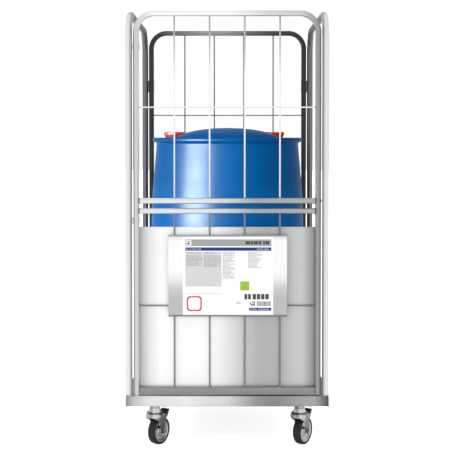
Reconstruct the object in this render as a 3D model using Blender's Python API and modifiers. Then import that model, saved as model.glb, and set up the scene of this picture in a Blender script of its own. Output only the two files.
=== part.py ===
"""Roll cage trolley that carries one upright plastic drum, in metres, +Z up, front towards -Y.

A castored base frame holds two side hoops and a back frame. The front is a gate that turns about its
left post. The gate has two mid rails, wires, a sheet metal lower panel and a label plate. The drum
stands on the deck. The origin is on the floor, under the middle of the base.
"""

import math

import bmesh
import bpy
from mathutils import Matrix, Vector

GAP = 0.0003  # between pieces that touch

# Base
BASE_WIDTH = 0.720
BASE_DEPTH = 0.800
BASE_BOTTOM = 0.159
BASE_TOP = 0.1965
SHEET = 0.003
FLANGE = 0.030
GUSSET_X, GUSSET_Y = 0.190, 0.260  # where the corner gussets start
DECK_CLEARANCE = 0.001
DECK_RAIL_X, DECK_RAIL_WIDTH = 0.150, 0.040

# Hoops
POST_X = 0.3215
POST_R = 0.0105
POST_WALL = 0.0018
GATE_Y = -0.385
BACK_Y = 0.377
HOOP_TOP = 1.549  # centre line of the gate and back hoops
HOOP_BEND = 0.065
SIDE_X = 0.3475
SIDE_R = 0.012
SIDE_WALL = 0.0018
SIDE_FRONT_Y = -0.3875
SIDE_REAR_Y = 0.3755
SIDE_TOP = 1.552
SIDE_BEND = 0.100
TUBE_SIDES = 12
BEND_STEPS = 6

# Gate
GATE_BOTTOM = 0.1998
RAIL_R = 0.010
UPPER_RAIL_Z = 0.8875
LOWER_RAIL_Z = 0.852
SILL_LOW, SILL_HIGH, SILL_DEPTH = 0.1988, 0.2240, 0.008
WIRE_X = (-0.1865, -0.062, 0.062, 0.1865)
WIRE_R = 0.003
CROSS_R = 0.0025
CROSS_SET_BACK = 0.005
UPPER_CROSS_Z = 1.2184
LOWER_CROSS_Z = 0.5147
PANEL_FRONT_Y, PANEL_THICK = -0.3742, 0.0015
PANEL_LOW, PANEL_HIGH, PANEL_LIP = 0.2050, 0.7940, 0.012
PLATE_X, PLATE_WIDTH = 0.002, 0.420
PLATE_LOW, PLATE_HIGH = 0.4780, 0.7670
PLATE_Y, PLATE_THICK, HEM_R = -0.3908, 0.0015, 0.0025
LABEL_X, LABEL_WIDTH = 0.003, 0.320
LABEL_LOW, LABEL_HIGH, LABEL_THICK = 0.4840, 0.7600, 0.0004

# Back frame
BACK_WIRE_SHIFT = 0.006
BACK_CROSS_Z = (1.203, 0.8615, 0.520)
TIE_LOW, TIE_HIGH = 1.300, 1.350

# Gate hinge and bolt
EYE_OUTER_R, EYE_BORE_R, EYE_SIDES = 0.0137, 0.0111, 20
EYES = {"lower": (0.806, 0.830), "upper": (1.420, 1.444)}
PIVOT_COLLAR_R, PIVOT_R, PIVOT_TOP = 0.0100, 0.0078, 0.2280
BOLT_Y, BOLT_R = -0.3670, 0.005
BOLT_START, BOLT_END = 0.225, 0.336
BARREL_ENDS, BARREL_OUTER_R, BARREL_BORE_R = (0.265, 0.300), 0.0072, 0.0056
KEEPER_ENDS, KEEPER_OUTER_R, KEEPER_BORE_R = (0.340, 0.356), 0.0082, 0.0060
KNOB_X, KNOB_R, KNOB_STEM_R = 0.235, 0.007, 0.0028

# Castors
CASTOR_X, CASTOR_Y = 0.261, 0.325
CASTOR_TURN = math.radians(-32.0)
TRAIL = 0.024
WHEEL_R, WHEEL_WIDTH = 0.050, 0.032
RIM_R = 0.0405
RIM_HUB_R, RIM_WEB, RIM_FLANGE = 0.011, 0.0035, 0.0135  # web and flange are half widths
AXLE_R, AXLE_NUT_R = 0.005, 0.0092
AXLE_HEAD_LENGTH, AXLE_NUT_LENGTH = 0.0055, 0.0045
LEG_INNER, LEG_THICK, LEG_EYE_R = 0.0185, 0.003, 0.011
CROWN_LOW, CROWN_HIGH, CROWN_R = 0.104, 0.1215, 0.033
CROWN_BOSS_R, CROWN_BOSS_LOW = 0.0125, 0.110
HOUSING_R, HOUSING_TOP_R, HOUSING_TOP = 0.0245, 0.0185, 0.142
NECK_UNDER_PLATE_R = 0.0175
KING_R, KING_HEAD_R, KING_HEAD_LOW, KING_HEAD_HIGH = 0.006, 0.0105, 0.1045, 0.1095
PLATE_SIZE = (0.100, 0.085, 0.004)
BRAKE_T, BRAKE_Z, BRAKE_PIN_R, BRAKE_WIDTH = 0.038, 0.1035, 0.003, 0.028

# Drum
DRUM_Y = -0.020
DRUM_BASE = BASE_TOP + GAP
DRUM_R = 0.2925
DRUM_WALL = 0.006
HEAD_Z = 1.098
RING_TOP = 1.110
BUNGS = {"left": (-0.205, 0.025), "right": (0.180, 0.025)}
NECK_BORE_R, NECK_R, NECK_TOP = 0.0240, 0.0360, 1.1060
CAP_R, CAP_TOP = 0.0425, 1.1320
DOME = (0.200, 0.150, 0.050)
DOME_Y = DRUM_Y - 0.085


def clear_scene():
    for obj in list(bpy.data.objects):
        bpy.data.objects.remove(obj, do_unlink=True)


def new_collection(name):
    collection = bpy.data.collections.new(name)
    bpy.context.scene.collection.children.link(collection)
    return collection


def material(name, colour, roughness, metallic):
    made = bpy.data.materials.new(name)
    made.use_nodes = True
    shader = made.node_tree.nodes["Principled BSDF"]
    shader.inputs["Base Color"].default_value = (*colour, 1.0)
    shader.inputs["Roughness"].default_value = roughness
    shader.inputs["Metallic"].default_value = metallic
    return made


clear_scene()
PARTS = new_collection("drum_roll_cage")
CUTTERS = new_collection("cutters")
CUTTERS.hide_render = True

BRIGHT_ZINC = material("bright_zinc", (0.74, 0.75, 0.74), 0.32, 1.0)
GREY_ZINC = material("grey_zinc", (0.45, 0.45, 0.44), 0.40, 1.0)
DARK_STEEL = material("dark_steel", (0.06, 0.06, 0.065), 0.38, 0.8)
SHEET_STEEL = material("sheet_steel", (0.72, 0.72, 0.72), 0.34, 1.0)
SILL_GREY = material("sill_grey", (0.30, 0.28, 0.28), 0.45, 0.6)
CASTOR_STEEL = material("castor_steel", (0.66, 0.66, 0.68), 0.25, 1.0)
BLACK_RUBBER = material("black_rubber", (0.02, 0.02, 0.02), 0.75, 0.0)
BLACK_PLASTIC = material("black_plastic", (0.03, 0.03, 0.03), 0.45, 0.0)
BLUE_PLASTIC = material("blue_plastic", (0.0, 0.15, 0.48), 0.30, 0.0)
RED_PLASTIC = material("red_plastic", (0.67, 0.03, 0.02), 0.30, 0.0)
WHITE_LABEL = material("white_label", (0.90, 0.90, 0.90), 0.50, 0.0)


def add(name, mesh, finish=None, frame=None):
    """A part when it has a finish, otherwise a cutter or a piece to join."""
    obj = bpy.data.objects.new(name, mesh)
    if finish:
        mesh.materials.clear()
        mesh.materials.append(finish)
        PARTS.objects.link(obj)
    else:
        obj.hide_render = True
        obj.display_type = "WIRE"
        CUTTERS.objects.link(obj)
    obj.parent = frame
    return obj


def from_bmesh(name, shape, finish, frame, smooth=False):
    mesh = bpy.data.meshes.new(name)
    shape.to_mesh(mesh)
    shape.free()
    if smooth:
        mesh.shade_smooth()
        mesh.set_sharp_from_angle(angle=math.radians(40))
    return add(name, mesh, finish, frame)


def box(name, low, high, finish=None, frame=None):
    low, high = Vector(low), Vector(high)
    shape = bmesh.new()
    bmesh.ops.create_cube(shape, size=1.0)
    bmesh.ops.scale(shape, vec=high - low, verts=shape.verts)
    bmesh.ops.translate(shape, vec=(low + high) / 2, verts=shape.verts)
    return from_bmesh(name, shape, finish, frame)


def rod(name, start, end, radius, finish=None, frame=None, sides=TUBE_SIDES, end_radius=None):
    start, end = Vector(start), Vector(end)
    along = end - start
    place = Matrix.Translation((start + end) / 2) @ along.to_track_quat("Z", "Y").to_matrix().to_4x4()
    shape = bmesh.new()
    bmesh.ops.create_cone(
        shape,
        cap_ends=True,
        segments=sides,
        radius1=radius,
        radius2=radius if end_radius is None else end_radius,
        depth=along.length,
        matrix=place,
    )
    return from_bmesh(name, shape, finish, frame, smooth=sides > 6)


def turned(name, profile, steps, finish=None, frame=None, closed=False):
    """A profile of (radius, height) points from top to bottom, turned about Z."""
    mesh = bpy.data.meshes.new(name)
    count = len(profile)
    edges = [(i, (i + 1) % count) for i in range(count if closed else count - 1)]
    mesh.from_pydata([(radius, 0.0, height) for radius, height in profile], edges, [])
    obj = add(name, mesh, finish, frame)
    screw = obj.modifiers.new("turn", "SCREW")
    screw.steps = steps
    screw.render_steps = steps
    screw.use_merge_vertices = True
    screw.merge_threshold = 0.00005
    screw.use_smooth_shade = True
    return obj


def hoop(name, place, half_span, bottom, top, bend, radius, wall, finish):
    """An open-ended tube bent to an inverted U. place(u, z) gives the point of the hoop's own plane."""
    steps = [math.pi / 2 * i / BEND_STEPS for i in range(BEND_STEPS + 1)]
    corner = half_span - bend, top - bend
    half = [(corner[0] + bend * math.cos(a), corner[1] + bend * math.sin(a)) for a in steps]
    path = [(half_span, bottom), *half]
    path += [(-u, z) for u, z in reversed(path)]
    curve = bpy.data.curves.new(name, "CURVE")
    curve.dimensions = "3D"
    curve.bevel_depth = radius
    curve.bevel_resolution = TUBE_SIDES // 4 - 1
    spline = curve.splines.new("POLY")
    spline.points.add(len(path) - 1)
    for point, (u, z) in zip(spline.points, path):
        point.co = (*place(u, z), 1.0)
    obj = add_curve(name, curve, finish)
    shell = obj.modifiers.new("wall", "SOLIDIFY")
    shell.thickness = wall
    shell.offset = -1.0
    return obj


def add_curve(name, curve, finish):
    curve.materials.append(finish)
    obj = bpy.data.objects.new(name, curve)
    PARTS.objects.link(obj)
    return obj


def outline_plate(name, outline, thickness, centre_x, finish=None, frame=None):
    """A flat plate of (y, z) outline points, centred on centre_x, made a mesh so that it can be joined."""
    curve = bpy.data.curves.new(name, "CURVE")
    curve.dimensions = "2D"
    curve.fill_mode = "BOTH"
    curve.extrude = thickness / 2
    spline = curve.splines.new("POLY")
    spline.points.add(len(outline) - 1)
    spline.use_cyclic_u = True
    for point, (y, z) in zip(spline.points, outline):
        point.co = (y, z, 0.0, 1.0)
    guide = bpy.data.objects.new(name + "_outline", curve)
    CUTTERS.objects.link(guide)
    bpy.context.view_layer.update()
    mesh = bpy.data.meshes.new_from_object(guide.evaluated_get(bpy.context.evaluated_depsgraph_get()))
    bpy.data.objects.remove(guide, do_unlink=True)
    shape = bmesh.new()
    shape.from_mesh(mesh)
    bmesh.ops.remove_doubles(shape, verts=shape.verts, dist=0.00001)
    upright = Matrix(((0, 0, 1, centre_x), (1, 0, 0, 0), (0, 1, 0, 0), (0, 0, 0, 1)))
    bmesh.ops.transform(shape, matrix=upright, verts=shape.verts)
    shape.to_mesh(mesh)
    shape.free()
    return add(name, mesh, finish, frame)


def combine(target, operation, *others):
    for other in others:
        step = target.modifiers.new(operation.lower(), "BOOLEAN")
        step.operation = operation
        step.solver = "EXACT"
        step.object = other
    return target


def arc(centre, radius, start, end, steps):
    """Points of an arc, in degrees, both ends included."""
    angles = [math.radians(start + (end - start) * i / steps) for i in range(steps + 1)]
    return [(centre[0] + radius * math.cos(a), centre[1] + radius * math.sin(a)) for a in angles]


def frame_at(name, location, turn=0.0, parent=None):
    empty = bpy.data.objects.new(name, None)
    PARTS.objects.link(empty)
    empty.location = location
    empty.rotation_euler = (0.0, 0.0, turn)
    empty.parent = parent
    return empty


def build_base():
    half_x, half_y = BASE_WIDTH / 2, BASE_DEPTH / 2
    web_x, web_y = half_x - SHEET, half_y - SHEET
    open_x, open_y = half_x - FLANGE, half_y - FLANGE
    inner_low, inner_high = BASE_BOTTOM + SHEET, BASE_TOP - SHEET
    frame = box(
        "base_frame", (-half_x, -half_y, BASE_BOTTOM), (half_x, half_y, BASE_TOP), SHEET_STEEL
    )
    through_high = BASE_TOP + SHEET
    through_low = BASE_BOTTOM - SHEET
    combine(
        frame,
        "DIFFERENCE",
        box("channel_cut", (-web_x, -web_y, inner_low), (web_x, web_y, inner_high)),
        box("top_cut", (-open_x, -open_y, inner_low + SHEET), (open_x, open_y, through_high)),
        box("wide_cut", (-open_x, -GUSSET_Y, through_low), (open_x, GUSSET_Y, inner_high - SHEET)),
        box("long_cut", (-GUSSET_X, -open_y, through_low), (GUSSET_X, open_y, inner_high - SHEET)),
    )
    deck_x, deck_y = open_x - DECK_CLEARANCE, open_y - DECK_CLEARANCE
    box("deck_plate", (-deck_x, -deck_y, inner_high + GAP), (deck_x, deck_y, BASE_TOP), SHEET_STEEL)
    for side, centre in (("left", -DECK_RAIL_X), ("right", DECK_RAIL_X)):
        outer = DECK_RAIL_WIDTH / 2
        inner = outer - SHEET
        end_y = web_y - GAP
        low, high = inner_low + GAP, inner_high - GAP
        rail = box(
            f"deck_rail_{side}",
            (centre - outer, -end_y, low),
            (centre + outer, end_y, high),
            GREY_ZINC,
        )
        hollow = box(
            f"deck_rail_{side}_cut",
            (centre - inner, -half_y, low - SHEET),
            (centre + inner, half_y, high - SHEET),
        )
        combine(rail, "DIFFERENCE", hollow)


def build_side_hoops():
    middle = (SIDE_FRONT_Y + SIDE_REAR_Y) / 2
    half_span = (SIDE_REAR_Y - SIDE_FRONT_Y) / 2
    for side, x in (("left", -SIDE_X), ("right", SIDE_X)):
        hoop(
            f"side_hoop_{side}",
            lambda u, z, x=x: (x, middle + u, z),
            half_span,
            BASE_TOP + GAP,
            SIDE_TOP,
            SIDE_BEND,
            SIDE_R,
            SIDE_WALL,
            GREY_ZINC,
        )


def post_hoop(name, y, bottom, finish):
    return hoop(
        name, lambda u, z: (u, y, z), POST_X, bottom, HOOP_TOP, HOOP_BEND, POST_R, POST_WALL, finish
    )


def wire_grid(name, y, xs, low, high, cross_y, cross_zs, finish):
    """Upright wires welded to cross wires that reach from post to post."""
    reach = POST_X - POST_R - GAP
    first, *others = cross_zs
    grid = rod(name, (-reach, cross_y, first), (reach, cross_y, first), CROSS_R, finish, sides=8)
    joined = [
        rod(f"{name}_cross_{i}", (-reach, cross_y, z), (reach, cross_y, z), CROSS_R, sides=8)
        for i, z in enumerate(others)
    ]
    joined += [
        rod(f"{name}_upright_{i}", (x, y, low), (x, y, high), WIRE_R, sides=8)
        for i, x in enumerate(xs)
    ]
    return combine(grid, "UNION", *joined)


def build_back_frame():
    inner_x = POST_X - POST_R - GAP
    tube_under = HOOP_TOP - POST_R - GAP
    post_hoop("back_hoop", BACK_Y, BASE_TOP + GAP, DARK_STEEL)
    box(
        "back_bottom_rail",
        (-inner_x, BACK_Y - SILL_DEPTH / 2, SILL_LOW),
        (inner_x, BACK_Y + SILL_DEPTH / 2, SILL_HIGH),
        SILL_GREY,
    )
    wire_grid(
        "back_wires",
        BACK_Y,
        [x + BACK_WIRE_SHIFT for x in WIRE_X],
        SILL_HIGH + GAP,
        tube_under,
        BACK_Y - CROSS_SET_BACK,
        BACK_CROSS_Z,
        GREY_ZINC,
    )
    for side, sign in (("left", -1), ("right", 1)):
        near, far = sorted((sign * (POST_X - POST_R), sign * (SIDE_X + SIDE_R)))
        box(
            f"back_tie_{side}",
            (near, BACK_Y + POST_R + GAP, TIE_LOW),
            (far, BACK_Y + POST_R + SHEET, TIE_HIGH),
            GREY_ZINC,
        )


def build_gate():
    inner_x = POST_X - POST_R - GAP
    post_hoop("gate_hoop", GATE_Y, GATE_BOTTOM, BRIGHT_ZINC)
    for name, z in (("gate_upper_rail", UPPER_RAIL_Z), ("gate_lower_rail", LOWER_RAIL_Z)):
        rod(name, (-inner_x, GATE_Y, z), (inner_x, GATE_Y, z), RAIL_R, BRIGHT_ZINC)
    box(
        "gate_bottom_rail",
        (-inner_x, GATE_Y - SILL_DEPTH / 2, SILL_LOW),
        (inner_x, GATE_Y + SILL_DEPTH / 2, SILL_HIGH),
        SILL_GREY,
    )
    cross_y = GATE_Y + CROSS_SET_BACK
    rail_top = UPPER_RAIL_Z + RAIL_R + GAP
    rail_bottom = LOWER_RAIL_Z - RAIL_R - GAP
    tube_under = HOOP_TOP - POST_R - GAP
    wire_grid(
        "gate_upper_wires",
        GATE_Y,
        WIRE_X,
        rail_top,
        tube_under,
        cross_y,
        [UPPER_CROSS_Z],
        BRIGHT_ZINC,
    )
    wire_grid(
        "gate_lower_wires",
        GATE_Y,
        WIRE_X,
        SILL_HIGH + GAP,
        rail_bottom,
        cross_y,
        [LOWER_CROSS_Z],
        BRIGHT_ZINC,
    )
    back_y = PANEL_FRONT_Y + PANEL_THICK
    panel = box(
        "gate_panel",
        (-POST_X, PANEL_FRONT_Y, PANEL_LOW),
        (POST_X, back_y, PANEL_HIGH),
        SHEET_STEEL,
    )
    lips = [
        box(
            f"gate_panel_lip_{i}",
            (-inner_x, back_y - PANEL_THICK / 2, low),
            (inner_x, back_y + PANEL_LIP, low + PANEL_THICK),
        )
        for i, low in enumerate((PANEL_LOW, PANEL_HIGH - PANEL_THICK))
    ]
    combine(panel, "UNION", *lips)


def build_label():
    left, right = PLATE_X - PLATE_WIDTH / 2, PLATE_X + PLATE_WIDTH / 2
    plate = box(
        "label_plate",
        (left, PLATE_Y - PLATE_THICK / 2, PLATE_LOW + HEM_R),
        (right, PLATE_Y + PLATE_THICK / 2, PLATE_HIGH - HEM_R),
        SHEET_STEEL,
    )
    hems = [
        rod(f"label_plate_hem_{i}", (left, PLATE_Y, z), (right, PLATE_Y, z), HEM_R, sides=8)
        for i, z in enumerate((PLATE_LOW + HEM_R, PLATE_HIGH - HEM_R))
    ]
    combine(plate, "UNION", *hems)
    front = PLATE_Y - PLATE_THICK / 2 - GAP
    half = LABEL_WIDTH / 2
    box(
        "label_sheet",
        (LABEL_X - half, front - LABEL_THICK, LABEL_LOW),
        (LABEL_X + half, front, LABEL_HIGH),
        WHITE_LABEL,
    )


def ring_along_x(name, start, end, outer, inner, finish):
    """A short tube along X, at the gate bolt's height."""
    tube = rod(name, (start, BOLT_Y, UPPER_RAIL_Z), (end, BOLT_Y, UPPER_RAIL_Z), outer, finish)
    bore = rod(
        f"{name}_bore",
        (start - SHEET, BOLT_Y, UPPER_RAIL_Z),
        (end + SHEET, BOLT_Y, UPPER_RAIL_Z),
        inner,
    )
    return combine(tube, "DIFFERENCE", bore)


def build_gate_hardware():
    low = BASE_TOP + GAP
    pin = turned(
        "gate_pivot_pin",
        [
            (0.0, PIVOT_TOP),
            (PIVOT_R, PIVOT_TOP),
            (PIVOT_R, GATE_BOTTOM - GAP),
            (PIVOT_COLLAR_R, GATE_BOTTOM - GAP),
            (PIVOT_COLLAR_R, low),
            (0.0, low),
        ],
        TUBE_SIDES,
        GREY_ZINC,
    )
    pin.location = (-POST_X, GATE_Y, 0.0)
    for name, (bottom, top) in EYES.items():
        eye = rod(
            f"hinge_eye_{name}",
            (-POST_X, GATE_Y, bottom),
            (-POST_X, GATE_Y, top),
            EYE_OUTER_R,
            GREY_ZINC,
            sides=EYE_SIDES,
        )
        bore = rod(
            f"hinge_eye_{name}_bore",
            (-POST_X, GATE_Y, bottom - SHEET),
            (-POST_X, GATE_Y, top + SHEET),
            EYE_BORE_R,
            sides=EYE_SIDES,
        )
        mouth = box(
            f"hinge_eye_{name}_mouth",
            (-POST_X - EYE_OUTER_R, GATE_Y - 2 * EYE_OUTER_R, bottom - SHEET),
            (-POST_X + 2 * EYE_OUTER_R, GATE_Y - EYE_OUTER_R / 3, top + SHEET),
        )
        combine(eye, "DIFFERENCE", bore, mouth)
    ring_along_x("bolt_barrel", *BARREL_ENDS, BARREL_OUTER_R, BARREL_BORE_R, GREY_ZINC)
    ring_along_x("bolt_keeper", *KEEPER_ENDS, KEEPER_OUTER_R, KEEPER_BORE_R, GREY_ZINC)
    bolt = rod(
        "gate_bolt",
        (BOLT_START, BOLT_Y, UPPER_RAIL_Z),
        (BOLT_END, BOLT_Y, UPPER_RAIL_Z),
        BOLT_R,
        CASTOR_STEEL,
    )
    knob_centre = Vector((KNOB_X, BOLT_Y + 3 * KNOB_R, UPPER_RAIL_Z))
    stem = rod("gate_bolt_stem", (KNOB_X, BOLT_Y, UPPER_RAIL_Z), knob_centre, KNOB_STEM_R, sides=8)
    shape = bmesh.new()
    bmesh.ops.create_uvsphere(
        shape,
        u_segments=10,
        v_segments=8,
        radius=KNOB_R,
        matrix=Matrix.Translation(knob_centre),
    )
    combine(bolt, "UNION", stem, from_bmesh("gate_bolt_knob", shape, None, None))


def leg_outline(has_brake):
    """Outline of one fork leg as (trail, height), counter-clockwise from the axle eye."""
    eye = (TRAIL, WHEEL_R)
    points = arc(eye, LEG_EYE_R, 185, 350, 6)
    if has_brake:
        points += [(0.036, 0.088), (0.044, 0.098), (0.044, 0.1075)]
    else:
        points += [(0.034, 0.090)]
    points += [(0.027, 0.1120), (-0.022, 0.1120), (-0.026, 0.1000)]
    return points + [(-0.012, 0.0955), (0.000, 0.0870), (0.008, 0.0720)]


def build_fork(name, frame, has_brake):
    fork = turned(
        f"{name}_fork",
        [
            (KING_R + 0.0005, CROWN_HIGH),
            (CROWN_R - 0.008, CROWN_HIGH),
            (CROWN_R - 0.002, CROWN_HIGH - 0.004),
            (CROWN_R, CROWN_HIGH - 0.009),
            (CROWN_R, CROWN_LOW),
            (CROWN_BOSS_R, CROWN_LOW),
            (CROWN_BOSS_R, CROWN_BOSS_LOW),
            (KING_R + 0.0005, CROWN_BOSS_LOW),
        ],
        20,
        CASTOR_STEEL,
        frame,
        closed=True,
    )
    centre = LEG_INNER + LEG_THICK / 2
    legs = [
        outline_plate(f"{name}_leg_{i}", leg_outline(has_brake), LEG_THICK, x, None, frame)
        for i, x in enumerate((-centre, centre))
    ]
    combine(fork, "UNION", *legs)
    reach = centre + LEG_THICK
    holes = [("axle_bore", TRAIL, WHEEL_R, AXLE_R + 0.0004)]
    if has_brake:
        holes.append(("brake_bore", BRAKE_T, BRAKE_Z, BRAKE_PIN_R + GAP))
    for label, y, z, radius in holes:
        bore = rod(f"{name}_{label}", (-reach, y, z), (reach, y, z), radius, frame=frame)
        combine(fork, "DIFFERENCE", bore)


def build_wheel(name, axle_frame):
    """Rim and tyre, turned about the axle frame's own Z."""
    half = WHEEL_WIDTH / 2
    rim = [
        (AXLE_R + 0.0004, half),
        (RIM_HUB_R, half),
        (RIM_HUB_R + 0.002, RIM_WEB + 0.003),
        (RIM_R - 0.009, RIM_WEB),
        (RIM_R - 0.004, RIM_FLANGE),
        (RIM_R, RIM_FLANGE),
    ]
    rim += [(radius, -height) for radius, height in reversed(rim)]
    turned(f"{name}_rim", rim, 24, CASTOR_STEEL, axle_frame, closed=True)
    bead = RIM_R + GAP
    tyre = [
        (bead, half - 0.002),
        (WHEEL_R - 0.005, half),
        (WHEEL_R - 0.0015, half - 0.003),
        (WHEEL_R, half - 0.009),
    ]
    tyre += [(radius, -height) for radius, height in reversed(tyre)]
    turned(f"{name}_tyre", tyre, 28, BLACK_RUBBER, axle_frame, closed=True)


def build_axle_bolt(name, frame):
    face = LEG_INNER + LEG_THICK + GAP
    head_end = face + AXLE_HEAD_LENGTH
    nut_end = face + AXLE_NUT_LENGTH

    def along_axle(label, start, end, radius, finish=None, sides=6):
        ends = (start, TRAIL, WHEEL_R), (end, TRAIL, WHEEL_R)
        return rod(f"{name}_{label}", *ends, radius, finish, frame, sides)

    bolt = along_axle(
        "axle_bolt", -nut_end - 0.0005, head_end - 0.0015, AXLE_R, CASTOR_STEEL, TUBE_SIDES
    )
    head = along_axle("axle_head", face, head_end, AXLE_NUT_R)
    nut = along_axle("axle_nut", -face, -nut_end, AXLE_NUT_R)
    combine(bolt, "UNION", head, nut)


def build_castor_head(name, frame, flat_frame):
    """The fixed top plate with the six-sided swivel housing under it, and the king bolt through both."""
    top = BASE_BOTTOM - GAP
    length, width, thick = PLATE_SIZE
    plate = box(
        f"{name}_top_plate",
        (-length / 2, -width / 2, top - thick),
        (length / 2, width / 2, top),
        CASTOR_STEEL,
        flat_frame,
    )

    def upright(label, low, high, radius, sides, end_radius=None):
        return rod(f"{name}_{label}", (0, 0, low), (0, 0, high), radius, None, frame, sides, end_radius)

    low = CROWN_HIGH + GAP
    housing = upright("housing", low, HOUSING_TOP, HOUSING_R, 6, HOUSING_TOP_R)
    neck = upright("neck", HOUSING_TOP - 0.001, top - thick / 2, NECK_UNDER_PLATE_R, 18)
    bore = upright("king_bore", low - SHEET, top + SHEET, KING_R + 0.0004, TUBE_SIDES)
    combine(plate, "UNION", housing, neck)
    combine(plate, "DIFFERENCE", bore)
    turned(
        f"{name}_king_bolt",
        [
            (0.0, top),
            (KING_R, top),
            (KING_R, KING_HEAD_HIGH),
            (KING_HEAD_R, KING_HEAD_HIGH),
            (KING_HEAD_R, KING_HEAD_LOW),
            (0.0, KING_HEAD_LOW),
        ],
        TUBE_SIDES,
        CASTOR_STEEL,
        frame,
    )


def build_brake(name, frame):
    """The foot lever over the tyre, drawn as (trail, height), and the pin that it turns on."""
    outline = [
        (0.0345, 0.1015),
        (0.0420, 0.1012),
        (0.0470, 0.0970),
        (0.0560, 0.0925),
        (0.0610, 0.1010),
        (0.0700, 0.1150),
        (0.0680, 0.1205),
        (0.0640, 0.1215),
        (0.0520, 0.1120),
        (0.0430, 0.1095),
        (0.0345, 0.1095),
    ]
    lever = outline_plate(f"{name}_brake_lever", outline, BRAKE_WIDTH, 0.0, BLACK_PLASTIC, frame)
    half = LEG_INNER + LEG_THICK
    ends = (-half, BRAKE_T, BRAKE_Z), (half, BRAKE_T, BRAKE_Z)
    bore = rod(f"{name}_lever_bore", *ends, BRAKE_PIN_R + GAP, frame=frame, sides=8)
    combine(lever, "DIFFERENCE", bore)
    rod(f"{name}_brake_pin", *ends, BRAKE_PIN_R, CASTOR_STEEL, frame, sides=8)


def build_castors():
    places = {
        "front_left": (-CASTOR_X, -CASTOR_Y, True),
        "front_right": (CASTOR_X, -CASTOR_Y, True),
        "rear_left": (-CASTOR_X, CASTOR_Y, False),
        "rear_right": (CASTOR_X, CASTOR_Y, False),
    }
    for name, (x, y, has_brake) in places.items():
        flat = frame_at(f"{name}_castor", (x, y, 0.0))
        swivel = frame_at(f"{name}_swivel", (0.0, 0.0, 0.0), CASTOR_TURN, flat)
        axle = frame_at(f"{name}_axle", (0.0, TRAIL, WHEEL_R), 0.0, swivel)
        axle.rotation_euler = (0.0, math.pi / 2, 0.0)
        build_castor_head(name, swivel, flat)
        build_fork(name, swivel, has_brake)
        build_wheel(name, axle)
        build_axle_bolt(name, swivel)
        if has_brake:
            build_brake(name, swivel)


def build_drum():
    foot = DRUM_BASE
    outer = [
        (0.0, HEAD_Z),
        (0.2540, HEAD_Z),
        (0.2620, RING_TOP - 0.001),
        (0.2680, RING_TOP),
        (0.2840, RING_TOP),
        (0.2880, RING_TOP - 0.004),
        (0.2880, 1.0975),
        (0.2840, 1.0945),
        (0.2730, 1.0900),
        (0.2735, 1.0800),
        (0.2816, 0.9860),
        (0.2894, 0.8920),
        (DRUM_R, 0.8000),
        (DRUM_R, foot + 0.1200),
        (0.2840, foot + 0.0700),
        (0.2770, foot + 0.0340),
        (0.2850, foot + 0.0260),
        (0.2850, foot + 0.0050),
        (0.2800, foot),
        (0.2600, foot),
        (0.2520, foot + 0.0080),
        (0.0, foot + 0.0080),
    ]
    cavity = [
        (0.0, HEAD_Z - DRUM_WALL),
        (0.2560, HEAD_Z - DRUM_WALL),
        (0.2665, 1.0800),
        (0.2755, 0.9860),
        (0.2834, 0.8920),
        (DRUM_R - DRUM_WALL, 0.8000),
        (DRUM_R - DRUM_WALL, foot + 0.1200),
        (0.2700, foot + 0.0340),
        (0.2460, foot + 0.0080 + DRUM_WALL),
        (0.0, foot + 0.0080 + DRUM_WALL),
    ]
    shell = turned("drum_shell", outer, 36, BLUE_PLASTIC)
    shell.location = (0.0, DRUM_Y, 0.0)
    hollow = turned("drum_cavity", cavity, 36)
    hollow.location = (0.0, DRUM_Y, 0.0)

    def dome(name, shrink):
        shape = bmesh.new()
        bmesh.ops.create_uvsphere(shape, u_segments=28, v_segments=14, radius=1.0)
        bmesh.ops.scale(shape, vec=[side - shrink for side in DOME], verts=shape.verts)
        bmesh.ops.translate(shape, vec=(0.0, DOME_Y, HEAD_Z - 0.001), verts=shape.verts)
        return from_bmesh(name, shape, None, None)

    necks = [
        rod(f"drum_neck_{side}", (x, y, HEAD_Z - DRUM_WALL), (x, y, NECK_TOP), NECK_R, sides=20)
        for side, (x, y) in BUNGS.items()
    ]
    bores = [
        rod(f"drum_bore_{side}", (x, y, HEAD_Z - 4 * DRUM_WALL), (x, y, CAP_TOP), NECK_BORE_R, sides=20)
        for side, (x, y) in BUNGS.items()
    ]
    combine(shell, "UNION", dome("drum_dome", 0.0), *necks)
    combine(shell, "DIFFERENCE", hollow, dome("drum_dome_inside", DRUM_WALL), *bores)
    for side, (x, y) in BUNGS.items():
        build_bung(side, x, y)


def build_bung(side, x, y):
    seat = NECK_TOP + GAP
    gasket_top = seat + 0.003
    cap_low = gasket_top + GAP
    plug_r = NECK_BORE_R - 0.001
    gasket = turned(
        f"drum_gasket_{side}",
        [(0.0255, gasket_top), (0.0350, gasket_top), (0.0350, seat), (0.0255, seat)],
        20,
        BLACK_RUBBER,
        closed=True,
    )
    gasket.location = (x, y, 0.0)
    cap = turned(
        f"drum_bung_{side}",
        [
            (0.0, CAP_TOP - 0.004),
            (0.0300, CAP_TOP - 0.004),
            (0.0330, CAP_TOP),
            (CAP_R - 0.002, CAP_TOP),
            (CAP_R, CAP_TOP - 0.003),
            (CAP_R - 0.001, CAP_TOP - 0.010),
            (CAP_R - 0.006, cap_low),
            (plug_r, cap_low),
            (plug_r, HEAD_Z - 0.014),
            (0.0, HEAD_Z - 0.014),
        ],
        20,
        RED_PLASTIC,
    )
    cap.location = (x, y, 0.0)


build_base()
build_side_hoops()
build_back_frame()
build_gate()
build_label()
build_gate_hardware()
build_castors()
build_drum()
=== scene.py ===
"""Looks for the drum roll cage trolley: fine surfaces, materials, light and camera over the CAD frame."""

import math

import bmesh
import bpy
from mathutils import Matrix, Vector


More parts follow.
